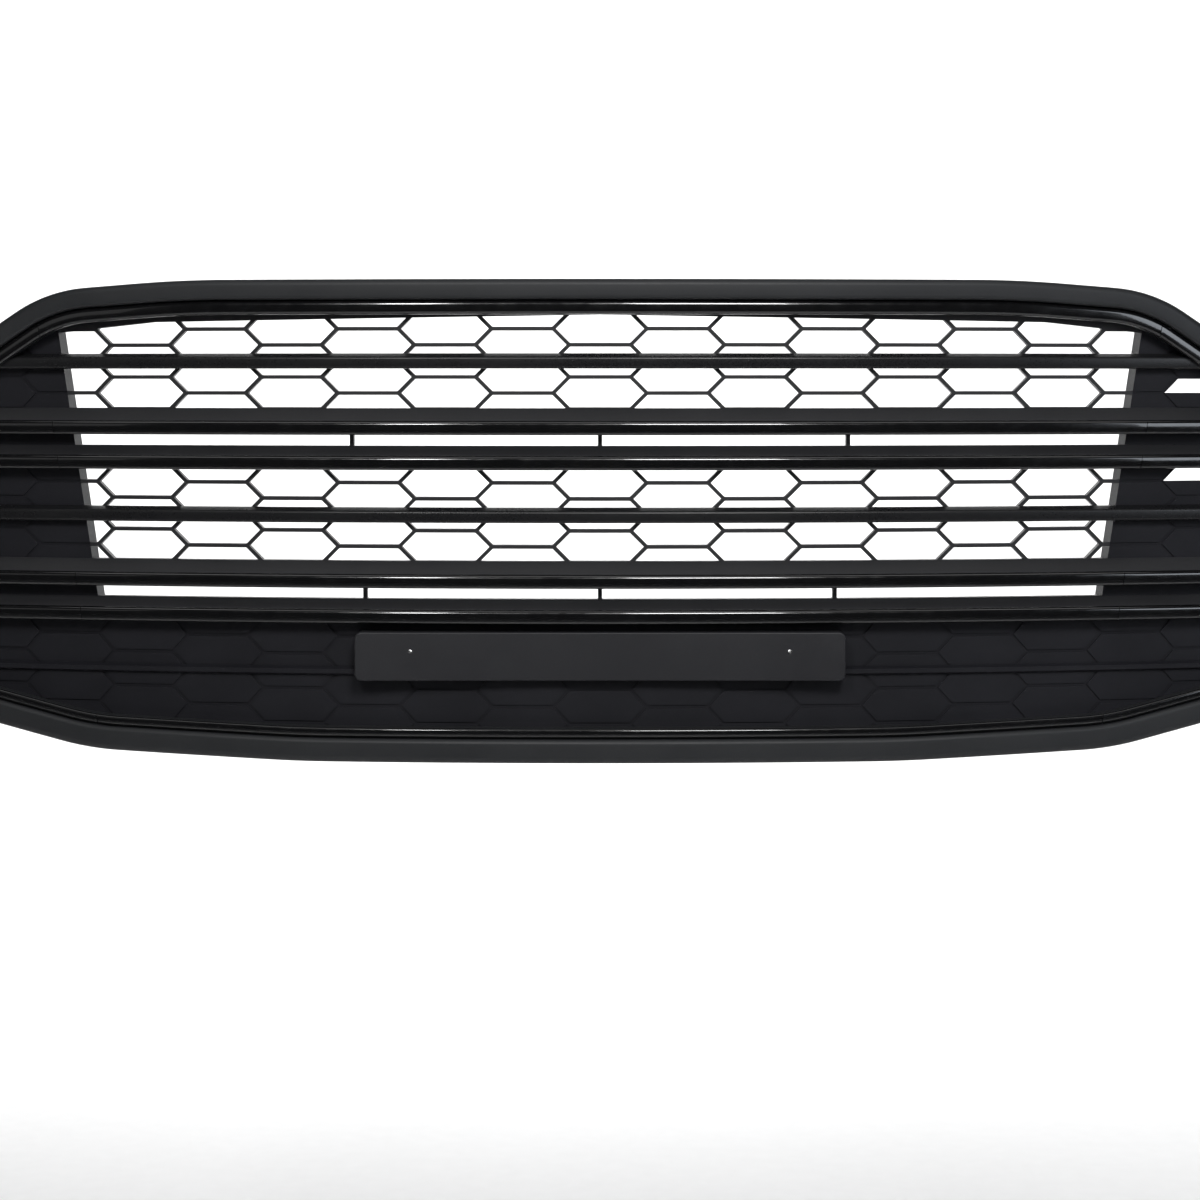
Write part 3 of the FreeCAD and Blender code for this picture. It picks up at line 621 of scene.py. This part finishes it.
def swept_normals(mesh):
    """Shade the swept layers as true cylinders and every other face flat."""
    normals = []
    for polygon in mesh.polygons:
        for index in polygon.loop_indices:
            corner = mesh.vertices[mesh.loops[index].vertex_index].co
            radial = Vector((corner.x, corner.y - AXIS_Y, 0)).normalized()
            facing = radial.dot(polygon.normal)
            layered = abs(facing) > 0.97
            normals.append(radial * math.copysign(1, facing) if layered else polygon.normal)
    mesh.normals_split_custom_set(normals)


def joined(name, nodes):
    """One moulding from nodes that butt on upright planes, without the faces between them."""
    joints = [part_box(node)[1].x for node in nodes[:-1]]
    work = bmesh.new()
    for node in nodes:
        work.from_mesh(frame["nodes"][node].data)
    inner = [face for face in work.faces
             if any(all(abs(v.co.x - x) < 0.00002 for v in face.verts) for x in joints)]
    bmesh.ops.delete(work, geom=inner, context="FACES")
    bmesh.ops.remove_doubles(work, verts=work.verts, dist=0.00001)
    bmesh.ops.dissolve_degenerate(work, edges=work.edges, dist=0.000002)
    mesh = bpy.data.meshes.new(name)
    work.to_mesh(mesh)
    work.free()
    item = make_object(name, mesh, 30)
    swept_normals(mesh)
    return finish_piece(item, SLOT_OF[nodes[0]], *nodes)


joined("lower_panel_skin", PANEL)
for node in ("wing_left", "wing_right"):
    joined(f"{node}_skin", [node])
for node, item in frame["nodes"].items():
    if not item.hide_render:
        item.data.materials.clear()
        item.data.materials.append(materials[SLOT_OF[node]])

# ---------------------------------------------------------------- surroundings

def pale(name, color):
    """Matte paint with faint clouding."""
    material, tree, shader = new_material(name, color, 0.8)
    grain = noise(tree, 30.0, 3.0)
    tint(tree, shader, spread(tree, grain, 0.0, 1.0), color, tuple(c * 1.02 for c in color))
    return material


FLOOR = -1.2
WALL_Y = 4.6
CURVE = 0.9


def studio_sweep():
    """A pale floor that curves up into a backdrop."""
    profile = [(-7.0, FLOOR)]
    profile += arc((WALL_Y - CURVE, FLOOR + CURVE), CURVE, 270, 360, 16)
    profile += [(WALL_Y, 5.0)]
    work = bmesh.new()
    rows = [[work.verts.new((x, y, z)) for x in (-7, 7)] for y, z in profile]
    for near, far in zip(rows, rows[1:]):
        work.faces.new((near[0], near[1], far[1], far[0]))
    mesh = bpy.data.meshes.new("floor")
    work.to_mesh(mesh)
    work.free()
    item = make_object("floor", mesh, 180)
    item.data.materials.append(pale("pale_floor", (0.88, 0.88, 0.88)))


studio_sweep()


def area_light(name, spot, aim, size, radiance, color=(1, 1, 1)):
    """A rectangular soft light of a given brightness."""
    lamp = bpy.data.lights.new(name, "AREA")
    lamp.shape = "RECTANGLE"
    lamp.size, lamp.size_y = size
    lamp.energy = radiance * math.pi * size[0] * size[1]
    lamp.color = color
    item = bpy.data.objects.new(name, lamp)
    item.location = spot
    item.rotation_euler = (Vector(aim) - Vector(spot)).to_track_quat("-Z", "Y").to_euler()
    bpy.context.scene.collection.objects.link(item)
    return item


area_light("overhead", (0, -0.6, 2.6), (0, 0, 0), (3.6, 1.2), 0.9)
area_light("key_right", (0.42, -2.5, 1.55), (0, 0, 0), (0.62, 0.8), 23)
area_light("key_left", (-0.74, -2.5, 1.55), (0, 0, 0), (0.24, 0.7), 32)
area_light("window_right", (2.7, -2.3, 0.9), (0.3, 0, 0), (1.1, 1.5), 3.2, (0.86, 0.92, 1.0))
area_light("fill_left", (-2.6, -2.6, 1.0), (-0.2, 0, 0), (1.2, 1.4), 0.3)
area_light("backdrop_high", (0, WALL_Y - 1.9, 2.3), (0, WALL_Y, 0.3), (6.0, 1.4), 7.0)
area_light("backdrop_low", (0, WALL_Y - 2.0, -1.08), (0, WALL_Y, -0.5), (6.0, 0.16), 13)

world = bpy.data.worlds.new("studio")
bpy.context.scene.world = world
world.use_nodes = True
world.node_tree.nodes["Background"].inputs["Color"].default_value = (0.95, 0.97, 1.0, 1)
world.node_tree.nodes["Background"].inputs["Strength"].default_value = 0.03
bpy.context.scene.view_settings.view_transform = "Standard"

# ---------------------------------------------------------------- camera

view = bpy.data.cameras.new("camera")
view.sensor_width = 36
view.lens = 82.1
camera = bpy.data.objects.new("camera", view)
camera.location = (0, LOW.y - 2.5916, 0.1354)
camera.rotation_euler = (math.radians(90 - 4.6), 0, 0)
bpy.context.scene.collection.objects.link(camera)
bpy.context.scene.camera = camera
